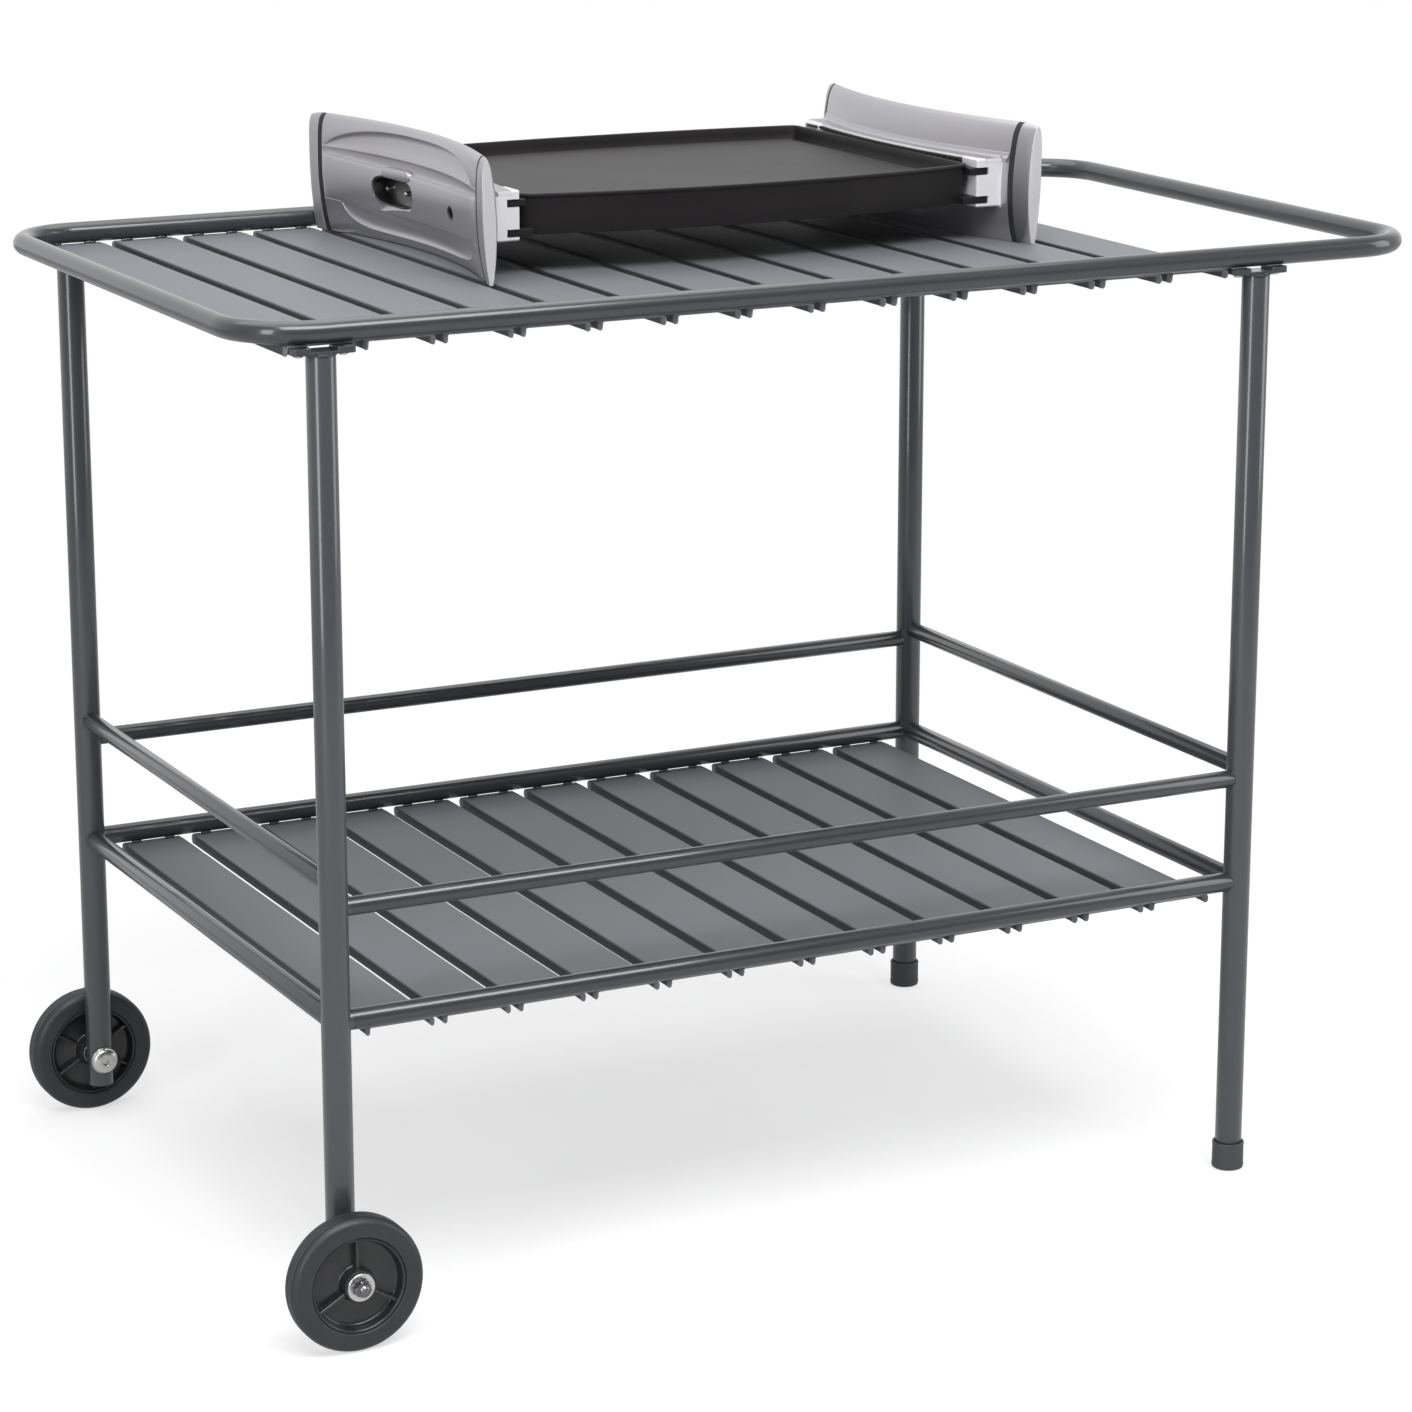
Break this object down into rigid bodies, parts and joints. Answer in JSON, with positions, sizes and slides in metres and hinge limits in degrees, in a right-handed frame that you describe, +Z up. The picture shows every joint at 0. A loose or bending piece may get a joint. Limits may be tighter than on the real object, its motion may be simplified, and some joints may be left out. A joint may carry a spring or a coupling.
{
  "type": "griddle cart",
  "caption": "Outdoor griddle cart: slatted deck in a ring frame with a push handle, slatted shelf, two wheels and an electric table griddle on top.",
  "frame": {"origin": "on the floor, under the middle of the whole cart", "axes": "+X from the wheeled end to the push handle, +Y from front to back, +Z up"},
  "size_m": [1.157, 0.7268, 0.9665],
  "materials": {
    "graphite_paint": "satin",
    "slat_paint": "satin",
    "foot_plastic": "matte",
    "tyre_rubber": "matte",
    "wheel_plastic": "satin",
    "zinc_steel": "bright",
    "stand_shell": "satin",
    "stand_end_cap": "satin",
    "inlet_plastic": "satin",
    "plate_coating": "satin non-stick coating"
  },
  "bodies": {
    "cart": {"deck_slat_01": "slat_paint", "deck_slat_02": "slat_paint", "deck_slat_03": "slat_paint", "deck_slat_04": "slat_paint", "deck_slat_05": "slat_paint", "deck_slat_06": "slat_paint", "deck_slat_07": "slat_paint", "deck_slat_08": "slat_paint", "deck_slat_09": "slat_paint", "deck_slat_10": "slat_paint", "deck_slat_11": "slat_paint", "deck_slat_12": "slat_paint", "deck_slat_13": "slat_paint", "shelf_slat_01": "slat_paint", "shelf_slat_02": "slat_paint", "shelf_slat_03": "slat_paint", "shelf_slat_04": "slat_paint", "shelf_slat_05": "slat_paint", "shelf_slat_06": "slat_paint", "shelf_slat_07": "slat_paint", "shelf_slat_08": "slat_paint", "shelf_slat_09": "slat_paint", "shelf_slat_10": "slat_paint", "shelf_slat_11": "slat_paint", "shelf_slat_12": "slat_paint", "top_ring": "graphite_paint", "front_left_leg": "graphite_paint", "back_left_leg": "graphite_paint", "front_right_leg": "graphite_paint", "back_right_leg": "graphite_paint", "front_shelf_tube": "graphite_paint", "back_shelf_tube": "graphite_paint", "left_shelf_tube": "graphite_paint", "right_shelf_tube": "graphite_paint", "front_guard_rail": "graphite_paint", "back_guard_rail": "graphite_paint", "left_guard_rail": "graphite_paint", "right_guard_rail": "graphite_paint", "front_axle_bolt": "zinc_steel", "front_spacer_washer": "zinc_steel", "front_end_washer": "zinc_steel", "front_axle_nut": "zinc_steel", "back_axle_bolt": "zinc_steel", "back_spacer_washer": "zinc_steel", "back_end_washer": "zinc_steel", "back_axle_nut": "zinc_steel", "front_foot_cap": "foot_plastic", "back_foot_cap": "foot_plastic"},
    "front_wheel": {"front_tyre": "tyre_rubber", "front_wheel_centre": "wheel_plastic"},
    "back_wheel": {"back_tyre": "tyre_rubber", "back_wheel_centre": "wheel_plastic"},
    "griddle": {"griddle_plate": "plate_coating", "left_stand": "stand_shell", "left_stand_front_cap": "stand_end_cap", "left_stand_back_cap": "stand_end_cap", "right_stand": "stand_shell", "right_stand_front_cap": "stand_end_cap", "right_stand_back_cap": "stand_end_cap", "power_inlet": "inlet_plastic"}
  },
  "joints": [
    {"name": "front_wheel_spin", "type": "hinge", "parent": "cart", "child": "front_wheel", "pos_m": [-0.508, -0.3377, 0.06], "axis": [0, 1, 0], "continuous": true},
    {"name": "back_wheel_spin", "type": "hinge", "parent": "cart", "child": "back_wheel", "pos_m": [-0.508, 0.3377, 0.06], "axis": [0, 1, 0], "continuous": true},
    {"name": "griddle_lift", "type": "slide", "parent": "cart", "child": "griddle", "axis": [0, 0, 1], "range_m": [0, 0.25]}
  ]
}
